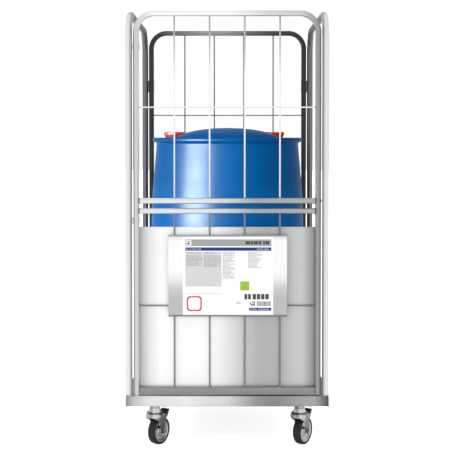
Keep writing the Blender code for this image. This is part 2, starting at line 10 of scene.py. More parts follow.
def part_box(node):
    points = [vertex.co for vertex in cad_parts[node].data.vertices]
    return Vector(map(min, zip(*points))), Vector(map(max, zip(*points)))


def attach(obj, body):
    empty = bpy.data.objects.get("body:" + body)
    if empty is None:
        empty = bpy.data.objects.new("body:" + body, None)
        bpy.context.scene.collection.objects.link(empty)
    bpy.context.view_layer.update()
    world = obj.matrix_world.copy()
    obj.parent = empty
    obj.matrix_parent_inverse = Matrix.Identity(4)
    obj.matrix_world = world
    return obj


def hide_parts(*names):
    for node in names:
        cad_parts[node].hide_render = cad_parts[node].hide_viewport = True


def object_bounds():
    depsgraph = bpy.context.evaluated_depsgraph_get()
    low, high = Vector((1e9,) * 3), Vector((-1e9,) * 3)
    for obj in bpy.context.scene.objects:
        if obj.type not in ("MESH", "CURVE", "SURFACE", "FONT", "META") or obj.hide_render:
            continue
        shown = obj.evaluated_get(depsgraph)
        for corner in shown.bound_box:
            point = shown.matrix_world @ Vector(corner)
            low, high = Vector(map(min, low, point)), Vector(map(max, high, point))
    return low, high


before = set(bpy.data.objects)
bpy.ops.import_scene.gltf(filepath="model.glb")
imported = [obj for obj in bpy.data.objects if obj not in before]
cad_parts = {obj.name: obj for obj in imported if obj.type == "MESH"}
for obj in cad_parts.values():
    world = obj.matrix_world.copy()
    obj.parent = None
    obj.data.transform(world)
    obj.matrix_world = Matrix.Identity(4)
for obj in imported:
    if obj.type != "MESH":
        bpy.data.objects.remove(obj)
CAD_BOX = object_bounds()

CASTORS = ("front_left", "front_right", "rear_left", "rear_right")
CASTOR_TURN = math.radians(-32.0)
TRAIL = 0.024
GRAIN_ACROSS = 420.0

POST_BEND, SIDE_BEND = 0.065, 0.100
WIRE_X = (-0.1865, -0.062, 0.062, 0.1865)
WIRE_RADIUS, CROSS_RADIUS = 0.003, 0.0025
GATE_UPPER_CROSS, GATE_LOWER_CROSS = [1.2184], [0.5147]
BACK_CROSS = [1.203, 0.8615, 0.520]
BACK_WIRE_SHIFT = 0.006
WHEEL_RADIUS = 0.050

LENS, SHIFT_X, SHIFT_Y = 87.012, -0.0103, -0.14
CAMERA_X, CAMERA_HEIGHT, CAMERA_DISTANCE, CAMERA_TILT = 0.0087, 1.1216, 3.8275, 1.4405
FLOOR_GLOW = 0.70

INK = (0.07, 0.07, 0.075)
PALE_INK = (0.24, 0.24, 0.25)


def hash01(*numbers):
    """A repeatable value from 0 to 1."""
    mixed = sum(number * weight for number, weight in zip(numbers, (12.9898, 78.233, 37.719)))
    return (math.sin(mixed) * 43758.5453) % 1.0


def mix(a, b, t):
    return a + (b - a) * t


def grey(value):
    return (value, value, value)


# Materials


def new_shader(name, **values):
    made = bpy.data.materials.new(name)
    made.use_nodes = True
    tree = made.node_tree
    shader = tree.nodes["Principled BSDF"]
    for socket, value in values.items():
        shader.inputs[socket.replace("_", " ")].default_value = value
    return made, tree, shader


def place_of(tree):
    return tree.nodes.new("ShaderNodeTexCoord").outputs["Object"]


def noise(tree, scale, stretch=(1.0, 1.0, 1.0), detail=4.0, roughness=0.55):
    mapping = tree.nodes.new("ShaderNodeMapping")
    mapping.inputs["Scale"].default_value = stretch
    tree.links.new(place_of(tree), mapping.inputs["Vector"])
    node = tree.nodes.new("ShaderNodeTexNoise")
    node.inputs["Scale"].default_value = scale
    node.inputs["Detail"].default_value = detail
    node.inputs["Roughness"].default_value = roughness
    tree.links.new(mapping.outputs["Vector"], node.inputs["Vector"])
    return node.outputs["Fac"]


def remap(tree, value, from_low, from_high, to_low, to_high):
    node = tree.nodes.new("ShaderNodeMapRange")
    node.inputs["From Min"].default_value = from_low
    node.inputs["From Max"].default_value = from_high
    node.inputs["To Min"].default_value = to_low
    node.inputs["To Max"].default_value = to_high
    tree.links.new(value, node.inputs["Value"])
    return node.outputs["Result"]


def along(tree, axis, low, high, fold=False):
    """Position along an axis as 0 to 1 from low to high; fold takes the distance from the middle plane."""
    split = tree.nodes.new("ShaderNodeSeparateXYZ")
    tree.links.new(place_of(tree), split.inputs["Vector"])
    value = split.outputs["XYZ".index(axis)]
    if fold:
        size = tree.nodes.new("ShaderNodeMath")
        size.operation = "ABSOLUTE"
        tree.links.new(value, size.inputs[0])
        value = size.outputs["Value"]
    return remap(tree, value, low, high, 0.0, 1.0)


def ramp(tree, value, stops):
    node = tree.nodes.new("ShaderNodeValToRGB")
    band = node.color_ramp
    band.interpolation = "LINEAR"
    while len(band.elements) < len(stops):
        band.elements.new(0.5)
    for element, (position, colour) in zip(band.elements, stops):
        element.position = position
        element.color = (*colour, 1.0)
    tree.links.new(value, node.inputs["Fac"])
    return node.outputs["Color"]


def multiply(tree, first, second, amount=1.0):
    node = tree.nodes.new("ShaderNodeMix")
    node.data_type = "RGBA"
    node.blend_type = "MULTIPLY"
    node.inputs["Factor"].default_value = amount
    tree.links.new(first, node.inputs["A"])
    tree.links.new(second, node.inputs["B"])
    return node.outputs["Result"]


def bump(tree, shader, height, strength, distance):
    node = tree.nodes.new("ShaderNodeBump")
    node.inputs["Strength"].default_value = strength
    node.inputs["Distance"].default_value = distance
    tree.links.new(height, node.inputs["Height"])
    tree.links.new(node.outputs["Normal"], shader.inputs["Normal"])


def painted_light_along(tree, painted_light_ramp):
    """Painted light and shade: grey values along an axis, multiplied into a base colour in place of how light
    falls. A ramp is (axis, fold, stops); a stop is a position in metres and a tone.
    """
    axis, fold, stops = painted_light_ramp
    low, high = stops[0][0], stops[-1][0]
    scaled = [((at - low) / (high - low), grey(tone)) for at, tone in stops]
    return ramp(tree, along(tree, axis, low, high, fold), scaled)


def metal(name, painted_light_ramps, roughness, grain, streak=0.10, tint=(1.0, 1.0, 1.0), **values):
    """Metal with a grain. Each painted-light ramp is painted light and shade along one axis; grain is a noise
    stretch.
    """
    values.setdefault("Metallic", 1.0)
    made, tree, shader = new_shader(name, **values)
    fibres = noise(tree, 1.0, grain, 6.0, 0.65)
    patches = noise(tree, 9.0, (1.0, 1.0, 1.0), 3.0)
    colour = ramp(tree, fibres, [(0.30, tuple(part * (1.0 - 1.6 * streak) for part in tint)), (0.70, tint)])
    marks = ramp(tree, patches, [(0.35, grey(1.0 - 0.6 * streak)), (0.65, grey(1.0))])
    colour = multiply(tree, colour, marks)
    # Painted light and shade along axes, multiplied into the colour.
    for painted_light_ramp in painted_light_ramps:
        colour = multiply(tree, colour, painted_light_along(tree, painted_light_ramp))
    tree.links.new(colour, shader.inputs["Base Color"])
    rough = remap(tree, fibres, 0.25, 0.75, roughness - 0.06, roughness + 0.08)
    tree.links.new(rough, shader.inputs["Roughness"])
    bump(tree, shader, fibres, 0.10, 0.0004)
    return made


def coating(name, colour, roughness, speckle=0.12, orange_peel=0.25, peel_scale=700.0, painted_light_ramps=(), **values):
    """Paint, plastic or rubber: one colour with a soft variation, and a fine moulded or sprayed surface."""
    made, tree, shader = new_shader(name, **values)
    patches = noise(tree, 14.0, (1.0, 1.0, 1.0), 5.0)
    darker = tuple(part * (1.0 - speckle) for part in colour)
    base = ramp(tree, patches, [(0.30, darker), (0.70, colour)])
    # Painted light and shade along axes, where given, multiplied into the colour.
    for painted_light_ramp in painted_light_ramps:
        base = multiply(tree, base, painted_light_along(tree, painted_light_ramp))
    tree.links.new(base, shader.inputs["Base Color"])
    peel = noise(tree, peel_scale, (1.0, 1.0, 1.0), 3.0)
    rough = remap(tree, patches, 0.3, 0.7, roughness - 0.04, roughness + 0.05)
    tree.links.new(rough, shader.inputs["Roughness"])
    bump(tree, shader, peel, orange_peel, 0.0003)
    return made


def flat_ink(name, colour):
    """Print on the label: slightly uneven ink with the sheet's fine tooth."""
    return coating(name, colour, 0.45, 0.05, 0.08, 1500.0, Specular_IOR_Level=0.2)


def make_materials():
    upright = (GRAIN_ACROSS, GRAIN_ACROSS, 7.0)
    level = (7.0, GRAIN_ACROSS, GRAIN_ACROSS)
    plating = (260.0, 260.0, 260.0)
    made = {}
    # Painted light and shade: lighter at the left post and the top middle, darker towards the right post.
    made["gate_tube"] = metal(
        "gate_tube_zinc",
        [("X", False, [
            (-0.332, 0.62), (-0.311, 0.72), (-0.26, 0.96), (0.0, 1.0),
            (0.15, 0.72), (0.26, 0.68), (0.311, 0.40), (0.332, 0.30),
        ])],
        0.42, plating, 0.02, (1.0, 1.0, 0.985),
    )
    # Painted light and shade: lighter at the left, darker towards the right.
    made["rail"] = metal(
        "gate_rail_zinc",
        [("X", False, [(-0.31, 0.82), (-0.1, 0.86), (0.0, 0.72), (0.1, 0.44), (0.31, 0.48)])],
        0.40, level, 0.03,
    )
    # Painted highlight and shade: palest at about 1.3 m high, greyer towards the top.
    made["upper_wire_painted_light"] = metal(
        "upper_wire_zinc_painted_light",
        [("Z", False, [(0.90, 0.78), (1.15, 0.96), (1.32, 1.0), (1.42, 0.66), (1.55, 0.42)])],
        0.40, plating, 0.03,
    )
    # Painted shade: the same zinc wire as the upper grid, toned far darker, and a little darker towards +X.
    made["wire_painted_shade"] = metal("wire_zinc_painted_shade", [("X", False, [(-0.33, 0.29), (0.33, 0.27)])], 0.45, plating, 0.04)
    # Painted light and shade: light at the front legs, dark towards the rear, and lighter on each tube's outer
    # side than its inner side.
    made["side_tube"] = metal(
        "side_tube_zinc",
        [
            ("Y", False, [(-0.40, 1.0), (-0.35, 0.92), (-0.29, 0.38), (0.10, 0.28), (0.40, 0.24)]),
            ("X", True, [
                (0.3355, 0.44), (0.3405, 0.48), (0.3440, 0.70), (0.3475, 0.84), (0.3510, 0.87), (0.3595, 0.82),
            ]),
        ],
        0.45, plating, 0.02, (1.0, 0.985, 0.99),
    )
    # Painted light and reflection: light across the left and middle, darker grey towards the right and at both
    # edges.
    made["panel"] = metal(
        "panel_brushed_painted_light",
        [("X", False, [
            (-0.3215, 0.43), (-0.274, 0.82), (-0.238, 1.0), (-0.050, 1.0), (0.0, 0.82), (0.05, 0.66),
            (0.10, 0.50), (0.134, 0.475), (0.187, 0.49), (0.24, 0.60), (0.265, 0.62), (0.29, 0.44),
            (0.3215, 0.24),
        ])],
        0.42, upright, 0.03, Metallic=0.60, Specular_IOR_Level=0.2,
    )
    # Painted shade and highlight: dark lines at the bottom and top hems, light across the upper middle.
    made["plate"] = metal(
        "label_plate_painted_light",
        [("Z", False, [
            (0.478, 0.10), (0.487, 0.54), (0.54, 0.53), (0.575, 0.62), (0.61, 0.86), (0.64, 0.98),
            (0.745, 0.98), (0.758, 0.84), (0.767, 0.28),
        ])],
        0.34, level, 0.02,
    )
    # Painted light and shade: dark at both ends, light at the left, darker grey towards the right.
    made["base"] = metal(
        "base_brushed_painted_light",
        [("X", False, [
            (-0.36, 0.30), (-0.33, 0.63), (-0.274, 0.87), (-0.15, 0.95), (0.0, 0.77), (0.10, 0.385),
            (0.15, 0.315), (0.187, 0.31), (0.26, 0.44), (0.31, 0.46), (0.34, 0.24), (0.36, 0.09),
        ])],
        0.38, level, 0.10,
    )
    # A nearly even tone with a faint painted shade, darker towards +X.
    faint_painted_shade = [("X", False, [(-0.4, 0.62), (0.4, 0.58)])]
    made["deck"] = metal("deck_sheet", faint_painted_shade, 0.42, (GRAIN_ACROSS, 8.0, GRAIN_ACROSS), 0.18)
    made["fixing"] = metal("fixing_zinc", faint_painted_shade, 0.36, plating, 0.14)
    made["weld"] = metal("weld_bead", faint_painted_shade, 0.44, plating, 0.20)
    # Painted reflections: light and dark upright bands across each castor, and painted shade darker towards the
    # floor.
    bands = ((-0.046, 0.75), (-0.028, 0.70), (-0.022, 0.38), (-0.010, 1.0), (0.006, 0.95), (0.016, 0.42))
    bands += ((0.026, 0.60), (0.042, 0.50))
    castor_painted_bands = [(middle + offset, tone) for middle in (-0.252, 0.272) for offset, tone in bands]
    made["castor"] = metal(
        "castor_zinc",
        [("X", False, castor_painted_bands), ("Z", False, [(0.0, 0.55), (0.09, 0.62), (0.12, 0.86), (0.16, 0.95)])],
        0.24, plating, 0.14, (0.97, 0.96, 1.0),
    )
    # Painted shade: the rim a little darker towards the top.
    made["rim"] = metal("castor_rim", [("Z", False, [(0.0, 0.70), (0.1, 0.62)])], 0.26, plating, 0.10)
    # Painted shade and highlight: a light grey coat darkened almost to black at the posts, with a painted
    # highlight at the top middle.
    made["back_tube_painted_shade"] = coating(
        "back_coat_painted_shade", grey(0.90), 0.42, 0.06, 0.20, 900.0,
        [("X", False, [
            (-0.332, 0.030), (-0.29, 0.045), (-0.20, 0.21), (-0.10, 0.34),
            (0.0, 0.34), (0.10, 0.14), (0.20, 0.055), (0.332, 0.028),
        ])],
        Specular_IOR_Level=0.25,
    )
    made["sill"] = coating("sill_paint", (0.285, 0.265, 0.27), 0.55, 0.05, 0.25, 900.0, Specular_IOR_Level=0.25)
    # Painted light and shade: lighter at the left, darker towards the right, lighter below the gate rails and
    # darker up to the head.
    made["drum"] = coating(
        "drum_polyethylene", (0.0, 0.172, 0.555), 0.36, 0.04, 0.05, 420.0,
        [
            ("X", False, [(-0.30, 0.92), (-0.15, 1.0), (0.0, 0.90), (0.12, 0.64), (0.22, 0.48), (0.30, 0.36)]),
            ("Z", False, [(0.80, 1.0), (0.90, 0.90), (0.95, 0.72), (1.08, 0.72), (1.11, 0.58), (1.18, 0.50)]),
        ],
        Specular_IOR_Level=0.02, Specular_Tint=(0.85, 0.95, 1.0, 1.0),
    )
    made["bung"] = coating(
        "bung_polyethylene", (0.74, 0.030, 0.020), 0.45, 0.05, 0.10, 500.0, Specular_IOR_Level=0.12
    )
    made["rubber"] = coating(
        "tyre_rubber", (0.018, 0.018, 0.020), 0.58, 0.30, 0.45, 600.0, Specular_IOR_Level=0.35
    )
    made["gasket"] = coating("gasket_rubber", (0.02, 0.02, 0.02), 0.70, 0.25, 0.30, 800.0)
    made["lever"] = coating("lever_plastic", (0.03, 0.03, 0.032), 0.42, 0.20, 0.40, 900.0)
    made["paper"] = coating("label_paper", (0.93, 0.93, 0.93), 0.45, 0.02, 0.10, 1500.0, Specular_IOR_Level=0.2)
    made["print_grey"] = flat_ink("print_grey", (0.36, 0.365, 0.38))
    made["print_pale"] = flat_ink("print_pale", (0.66, 0.66, 0.68))
    made["print_text"] = flat_ink("print_text", PALE_INK)
    made["print_dark"] = flat_ink("print_dark", INK)
    made["print_blue"] = flat_ink("print_blue", (0.006, 0.045, 0.25))
    made["print_green"] = flat_ink("print_green", (0.33, 0.55, 0.035))
    made["print_red"] = flat_ink("print_red", (0.55, 0.045, 0.055))
    return made


MATERIALS = make_materials()


# Geometry helpers. Every mesh is drawn in the frame's own coordinates, so each piece sits at the origin.


def finish_piece(name, shape, finish, body, nodes=(), angle=35.0):
    mesh = bpy.data.meshes.new(name)
    bmesh.ops.recalc_face_normals(shape, faces=shape.faces)
    shape.to_mesh(mesh)
    shape.free()
    mesh.shade_smooth()
    mesh.set_sharp_from_angle(angle=math.radians(angle))
    for key in [finish] if isinstance(finish, str) else finish:
        mesh.materials.append(MATERIALS[key])
    obj = bpy.data.objects.new(name, mesh)
    bpy.context.scene.collection.objects.link(obj)
    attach(obj, body)
    if nodes:
        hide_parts(*nodes)
    return obj


def merge(shape, part):
    """Adds another bmesh to the shape and frees it."""
    spare = bpy.data.meshes.new("spare")
    part.to_mesh(spare)
    part.free()
    shape.from_mesh(spare)
    bpy.data.meshes.remove(spare)


def end_of(low, high, sign):
    return high if sign > 0 else low


def ring(shape, centre, side, up, radius, sides):
    corners = []
    for i in range(sides):
        angle = 2 * math.pi * i / sides
        corners.append(shape.verts.new(centre + (side * math.cos(angle) + up * math.sin(angle)) * radius))
    return corners


def bridge(shape, first, second, material=0):
    count = len(first)
    for i in range(count):
        face = shape.faces.new((first[i], first[(i + 1) % count], second[(i + 1) % count], second[i]))
        face.material_index = material


def sweep(shape, path, radius, sides=24, chamfer=0.15, material=0):
    """A round bar along a path, with chamfered ends."""
    path = [Vector(point) for point in path]
    cut = radius * chamfer
    first_way = (path[1] - path[0]).normalized()
    last_way = (path[-1] - path[-2]).normalized()
    stations = [(path[0], radius - cut), (path[0] + first_way * cut, radius)]
    stations += [(point, radius) for point in path[1:-1]]
    stations += [(path[-1] - last_way * cut, radius), (path[-1], radius - cut)]
    side = first_way.orthogonal().normalized()
    rings = []
    last = len(stations) - 1
    for i, (point, size) in enumerate(stations):
        way = (stations[min(i + 1, last)][0] - stations[max(i - 1, 0)][0]).normalized()
        side = (side - way * side.dot(way)).normalized()
        rings.append(ring(shape, point, side, way.cross(side), size, sides))
    for first, second in zip(rings, rings[1:]):
        bridge(shape, first, second, material)
    for cap in (rings[0], rings[-1]):
        shape.faces.new(cap).material_index = material


def turned(shape, profile, steps, place=None, material=0, wobble=None):
    """A closed (radius, height) profile turned about Z, then placed by a matrix. A radius of 0 makes a pole."""
    place = place or Matrix.Identity(4)
    rings = []
    for radius, height in profile:
        if radius < 1e-7:
            rings.append([shape.verts.new(place @ Vector((0.0, 0.0, height)))])
            continue
        corners = []
        for i in range(steps):
            angle = 2 * math.pi * i / steps
            size = wobble(radius, height, angle) if wobble else radius
            point = Vector((size * math.cos(angle), size * math.sin(angle), height))
            corners.append(shape.verts.new(place @ point))
        rings.append(corners)
    for first, second in zip(rings, rings[1:]):
        for i in range(steps):
            j = (i + 1) % steps
            if len(first) == 1:
                corners = [first[0], second[j], second[i]]
            elif len(second) == 1:
                corners = [first[i], first[j], second[0]]
            else:
                corners = [first[i], first[j], second[j], second[i]]
            shape.faces.new(corners).material_index = material
    return rings


def turned_ring(shape, profile, steps, place=None, material=0, wobble=None):
    """As turned, with the profile's two ends joined, for a ring with a bore."""
    rings = turned(shape, profile, steps, place, material, wobble)
    bridge(shape, rings[-1], rings[0], material)


def rounded(points, radius, steps=4, closed=False):
    """The outline with its corners rounded off, as far as the sides allow."""
    points = [Vector(point) for point in points]
    count = len(points)
    made = []
    for i, corner in enumerate(points):
        if not closed and i in (0, count - 1):
            made.append(tuple(corner))
            continue
        before, after = points[i - 1], points[(i + 1) % count]
        reach = min(radius, (before - corner).length * 0.45, (after - corner).length * 0.45)
        start = corner + (before - corner).normalized() * reach
        end = corner + (after - corner).normalized() * reach
        for k in range(steps + 1):
            t = k / steps
            made.append(tuple(start * (1 - t) ** 2 + corner * (2 * t * (1 - t)) + end * t**2))
    return made


def extruded(shape, outline, start, end, to_space, material=0):
    """A closed outline of (u, v) points drawn from start to end; to_space(u, v, w) gives the point."""
    near = [shape.verts.new(to_space(u, v, start)) for u, v in outline]
    far = [shape.verts.new(to_space(u, v, end)) for u, v in outline]
    bridge(shape, near, far, material)
    shape.faces.new(near).material_index = material
    shape.faces.new(far).material_index = material


def soften(shape, width, segments=2, angle=30.0):
    """Rounds every edge sharper than the angle."""
    limit = math.radians(angle)
    sharp = [edge for edge in shape.edges if len(edge.link_faces) == 2 and edge.calc_face_angle(0.0) > limit]
    bmesh.ops.bevel(
        shape, geom=sharp, offset=width, segments=segments, profile=0.6, affect="EDGES", clamp_overlap=True
    )


def slab(shape, low, high, material=0):
    outline = [(low[0], low[1]), (high[0], low[1]), (high[0], high[1]), (low[0], high[1])]
    extruded(shape, outline, low[2], high[2], lambda u, v, w: (u, v, w), material)


def weld(shape, centre, way, radius, size, material=0, sides=36):
    """A fillet bead round a tube's end, with the ripples of a hand weld."""
    way = Vector(way).normalized()
    side = way.orthogonal().normalized()
    up = way.cross(side)
    rings = []
    for i in range(sides):
        angle = 2 * math.pi * i / sides
        out = side * math.cos(angle) + up * math.sin(angle)
        swell = size * (0.85 + 0.30 * hash01(i, centre[0] * 31, centre[2] * 17))
        middle = Vector(centre) + out * radius
        rings.append([
            shape.verts.new(middle + out * (swell * math.cos(a)) + way * (swell * math.sin(a)))
            for a in (2 * math.pi * k / 8 for k in range(8))
        ])
    for first, second in zip(rings, [*rings[1:], rings[0]]):
        bridge(shape, first, second, material)


def nugget(shape, centre, sizes, material=0):
    """A small spot weld."""
    place = Matrix.Translation(centre) @ Matrix.Diagonal((*sizes, 1.0))
    made = bmesh.ops.create_icosphere(shape, subdivisions=2, radius=1.0, matrix=place)
    for vert in made["verts"]:
        vert.co += (vert.co - Vector(centre)) * (0.12 * (hash01(vert.co.x * 900, vert.co.z * 700) - 0.5))
        for face in vert.link_faces:
            face.material_index = material


def hex_head(shape, centre, way, radius, height, material=0):
    """A bolt head with a washer under it, pointing along way from centre."""
    turn = Vector(way).to_track_quat("Z", "Y").to_matrix().to_4x4()
    place = Matrix.Translation(centre) @ turn
    rim, step = radius * 1.35, height * 0.22
    washer = rounded([(0.0, 0.0), (rim, 0.0), (rim, step), (0.0, step)], 0.0003, 2)
    turned(shape, washer, 32, place, material)
    head = [(0.0, step), (radius, step), (radius, height * 0.88), (radius * 0.86, height), (0.0, height)]
    turned(shape, head, 6, place, material)


def hoop_path(half_span, bottom, top, bend, place, steps=20):
    arc = []
    for i in range(steps + 1):
        angle = math.pi / 2 * i / steps
        arc.append((half_span - bend + bend * math.cos(angle), top - bend + bend * math.sin(angle)))
    half = [(half_span, bottom), *arc]
    half += [(-u, z) for u, z in reversed(half)]
    return [place(u, z) for u, z in half]


# The cage and the gate


def build_post_hoop(node, finish, body):
    low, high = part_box(node)
    radius = (high.y - low.y) / 2
    y = (high.y + low.y) / 2
    shape = bmesh.new()
    path = hoop_path(high.x - radius, low.z, high.z - radius, POST_BEND, lambda u, z: (u, y, z))
    sweep(shape, path, radius, 32, 0.06)
    for x in (low.x + radius, high.x - radius):
        if body == "cage":
            weld(shape, (x, y, low.z + 0.001), (0, 0, 1), radius, 0.0022, 1)
    finish_piece(node + "_fine", shape, [finish, "weld"], body, [node])


def build_side_hoop(node):
    low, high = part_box(node)
    radius = (high.x - low.x) / 2
    x = (high.x + low.x) / 2
    middle = (high.y + low.y) / 2
    half_span = (high.y - low.y) / 2 - radius
    shape = bmesh.new()
    path = hoop_path(half_span, low.z, high.z - radius, SIDE_BEND, lambda u, z: (x, middle - u, z), 24)
    sweep(shape, path, radius, 32, 0.06)
    for y in (low.y + radius, high.y - radius):
        weld(shape, (x, y, low.z + 0.001), (0, 0, 1), radius, 0.0022, 1)
    finish_piece(node + "_fine", shape, ["side_tube", "weld"], "cage", [node])


def build_rail(node):
    low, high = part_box(node)
    radius = (high.z - low.z) / 2
    y, z = (low.y + high.y) / 2, (low.z + high.z) / 2
    shape = bmesh.new()
    steps = 12
    path = [(mix(low.x, high.x, i / steps), y, z) for i in range(steps + 1)]
    sweep(shape, path, radius, 32, 0.04)
    for x in (low.x + 0.0012, high.x - 0.0012):
        weld(shape, (x, y, z), (1, 0, 0), radius, 0.0018, 1)
    finish_piece(node + "_fine", shape, ["rail", "weld"], "gate", [node])


def build_sill(node, body):
    low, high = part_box(node)
    shape = bmesh.new()
    slab(shape, low, high)
    soften(shape, 0.0012, 3)
    for x in (low.x + 0.001, high.x - 0.001):
        for z in (low.z + 0.004, high.z - 0.004):
            nugget(shape, (x, low.y + 0.001, z), (0.0022, 0.0016, 0.0034), 1)
    finish_piece(node + "_fine", shape, ["sill", "weld"], body, [node])


def build_wires(node, finish, body, uprights, cross_zs):
    """The same grid as the CAD node's, with round wires and a spot weld at each crossing."""
    low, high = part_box(node)
    y = low.y + WIRE_RADIUS if body == "gate" else high.y - WIRE_RADIUS
    cross_y = high.y - CROSS_RADIUS if body == "gate" else low.y + CROSS_RADIUS
    shape = bmesh.new()
    for x in uprights:
        sweep(shape, [(x, y, mix(low.z, high.z, i / 8)) for i in range(9)], WIRE_RADIUS, 16, 0.2)
        for z in cross_zs:
            nugget(shape, (x, (y + cross_y) / 2, z), (0.0034, 0.0016, 0.0030), 1)
        for z in (low.z + 0.0008, high.z - 0.0008):
            nugget(shape, (x, y, z), (0.0040, 0.0036, 0.0018), 1)
    for z in cross_zs:
        sweep(shape, [(mix(low.x, high.x, i / 8), cross_y, z) for i in range(9)], CROSS_RADIUS, 16, 0.2)
        for x in (low.x + 0.0006, high.x - 0.0006):
            nugget(shape, (x, cross_y, z), (0.0018, 0.0034, 0.0034), 1)
    finish_piece(node + "_fine", shape, [finish, "weld"], body, [node])


def build_panel():
    """The lower panel: one sheet with its top and bottom edges folded back."""
    low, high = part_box("gate_panel")
    thick = 0.0015
    y = low.y
    face = [(y, low.z), (high.y, low.z), (high.y, low.z + thick), (y + thick, low.z + thick)]
    face += [(y + thick, high.z - thick), (high.y, high.z - thick), (high.y, high.z), (y, high.z)]
    outline = rounded(face, 0.0022, 4, closed=True)
    shape = bmesh.new()
    extruded(shape, outline, low.x, high.x, lambda u, v, w: (w, u, v))
    for x in (low.x + 0.004, high.x - 0.004):
        for i in range(7):
            z = mix(low.z + 0.04, high.z - 0.04, i / 6)
            nugget(shape, (x, y - 0.0001, z), (0.0028, 0.0006, 0.0028), 1)
    finish_piece("gate_panel_fine", shape, ["panel", "weld"], "gate", ["gate_panel"], 25.0)


def build_label_plate():
    """The plate's rolled top and bottom hems are part of its outline."""
    low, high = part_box("label_plate")
    hem = (high.y - low.y) / 2
    y = (low.y + high.y) / 2
    half = 0.00075

    def roll(centre_z, start):
        turn = [math.radians(start + 300 * i / 18) for i in range(19)]
        return [(y + hem * math.cos(a), centre_z + hem * math.sin(a)) for a in turn]

    outline = roll(high.z - hem, -60) + roll(low.z + hem, 120)
    outline = [(min(max(u, y - hem), y + hem), v) for u, v in outline]
    shape = bmesh.new()
    extruded(shape, outline, low.x, high.x, lambda u, v, w: (w, u, v))
    slab(shape, (low.x, y - half, low.z + hem), (high.x, y + half, high.z - hem))
    finish_piece("label_plate_fine", shape, "plate", "gate", ["label_plate"], 30.0)


def build_label():
    """The sheet, and its generic print: header, bands, text rows, a colour square, a ring and code blocks."""
    low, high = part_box("label_sheet")
    left, top, front = low.x, high.z, low.y
    inks = ["paper", *(f"print_{ink}" for ink in ("grey", "pale", "text", "dark", "blue", "green", "red"))]
    shape = bmesh.new()
    slab(shape, low, high)
    soften(shape, 0.0001, 1)

    def patch(ink, x0, y0, x1, y1, layer=1):
        """A printed area, in millimetres from the sheet's top left corner."""
        lift = 0.00004 * layer
        a = (left + x0 / 1000, front - lift, top - y1 / 1000)
        b = (left + x1 / 1000, front + 0.0001, top - y0 / 1000)
        slab(shape, a, b, inks.index(ink))

    def text_block(ink, x0, y0, x1, y1, pitch, seed):
        """Rows of short bars that read as small print from afar."""
        rows = int((y1 - y0) / pitch)
        for row in range(rows):
            y = y0 + row * pitch
            x = x0
            end = x1 - (x1 - x0) * 0.45 * hash01(row, seed) * (hash01(row, seed, 5) > 0.55)
            while x < end - 2.0:
                width = min(3.0 + 9.0 * hash01(x, row, seed), end - x)
                patch(ink, x, y, x + width, y + pitch * 0.36, 3)
                x += width + 1.4

    def letters(ink, x0, y0, x1, y1, pitch):
        """Short upright bars in a row, as unreadable as lettering from afar."""
        for i in range(int((x1 - x0) / pitch)):
            patch(ink, x0 + i * pitch, y0, x0 + (i + 0.62) * pitch, y1, 2)

    patch("print_grey", 9.2, 8.5, 312.8, 32.3)
    patch("paper", 12.5, 11.0, 30.5, 30.0, 2)
    patch("print_dark", 16.0, 14.5, 27.0, 17.0, 3)
    patch("print_dark", 16.0, 19.5, 24.0, 26.5, 3)
    for x, width in ((222, 17), (241, 9), (252, 14), (268, 10), (284, 7), (293, 13)):
        patch("print_dark", x, 15.0, x + width, 26.0, 2)
    patch("print_blue", 9.2, 36.9, 312.8, 48.6)
    for x, width in ((13, 9), (24, 5), (31, 17), (51, 15), (262, 22), (286, 20)):
        letters("print_pale", x, 41.2, x + width, 44.6, 2.4)
    patch("print_pale", 9.2, 52.5, 137.0, 175.7)
    text_block("print_text", 12.0, 55.5, 68.0, 61.5, 6.0, 1)
    text_block("print_text", 12.0, 66.0, 69.9, 104.0, 4.2, 2)
    text_block("print_text", 75.0, 55.5, 120.0, 61.5, 6.0, 3)
    text_block("print_text", 75.0, 66.0, 134.0, 111.0, 4.2, 4)
    text_block("print_text", 141.0, 53.0, 184.0, 151.0, 4.2, 5)
    text_block("print_text", 231.0, 53.0, 280.0, 112.0, 4.2, 6)
    patch("print_text", 9.2, 200.4, 137.0, 201.2)
    patch("print_green", 203.0, 157.3, 235.4, 189.2)
    for x, width in ((218, 10), (231, 10), (247, 12), (262, 12), (277, 12), (292, 12)):
        patch("print_dark", x, 202.0, x + width, 221.0)
    text_block("print_text", 190.0, 230.0, 205.0, 240.0, 5.0, 7)
    for row in range(6):
        for column in range(6):
            if hash01(row, column, 3) > 0.42:
                x, y = 237.0 + 3.0 * column, 228.3 + 2.8 * row
                patch("print_dark", x, y, x + 2.9, y + 2.7)
    x = 263.0
    while x < 311.0:
        width = 0.8 + 1.8 * hash01(x, 9)
        patch("print_dark", x, 228.3, x + width, 245.0)
        x += width + 0.9 + 1.2 * hash01(x, 4)
    patch("print_blue", 234.3, 251.0, 312.8, 261.3)
    for x, width in ((238, 26), (267, 40)):
        letters("print_pale", x, 254.6, x + width, 257.6, 2.4)
    ring_centre, outer, inner = (40.5, 236.1), 26.5, 21.8
    corners = {}
    for key, half in (("outer", outer), ("inner", inner)):
        square = [(-half, -half), (half, -half), (half, half), (-half, half)]
        corners[key] = rounded(square, half * 0.5, 6, closed=True)
    for i in range(len(corners["outer"])):
        j = (i + 1) % len(corners["outer"])
        loop = [corners["outer"][i], corners["outer"][j], corners["inner"][j], corners["inner"][i]]
        spots = [(left + (ring_centre[0] + u) / 1000, top - (ring_centre[1] + v) / 1000) for u, v in loop]
        points = [shape.verts.new((x, front - 0.00006, z)) for x, z in spots]
        shape.faces.new(points).material_index = inks.index("print_red")
    finish_piece("label_sheet_fine", shape, inks, "gate", ["label_sheet"], 30.0)


